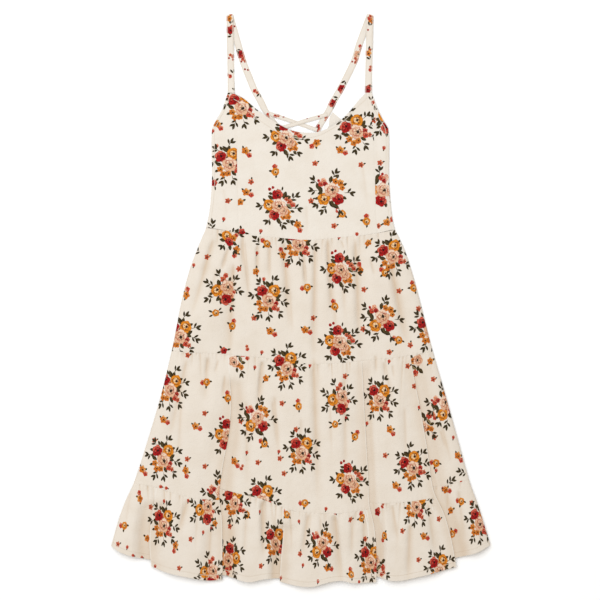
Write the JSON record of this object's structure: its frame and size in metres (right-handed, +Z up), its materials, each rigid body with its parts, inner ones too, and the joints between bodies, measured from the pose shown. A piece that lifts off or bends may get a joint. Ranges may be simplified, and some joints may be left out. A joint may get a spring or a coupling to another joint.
{
  "type": "sundress",
  "caption": "Sleeveless sundress laid flat, with thin shoulder straps, crossed back laces, a fitted bodice and a gathered, tiered skirt with a hem ruffle.",
  "frame": {"origin": "centre of the bounding box on the surface the dress lies on", "axes": "+Y from hem to neckline, +X to the right seen from above, +Z up from the back to the front of the dress"},
  "size_m": [0.681, 1.0292, 0.014],
  "materials": {
    "printed_cotton": "matt woven cotton, cream with a floral print",
    "strap_cotton": "matt woven cotton, cream with a floral print"
  },
  "bodies": {
    "root": {"bodice_back": "printed_cotton", "upper_tier_back": "printed_cotton", "lower_tier_back": "printed_cotton", "hem_ruffle_back": "printed_cotton", "bodice_front_centre": "printed_cotton", "bodice_front_side_left": "printed_cotton", "bodice_front_side_right": "printed_cotton", "upper_tier_front": "printed_cotton", "lower_tier_front": "printed_cotton", "hem_ruffle_front": "printed_cotton", "shoulder_strap_left": "strap_cotton", "shoulder_strap_right": "strap_cotton", "back_lace_lower": "strap_cotton", "back_lace_upper": "strap_cotton"}
  },
  "joints": []
}
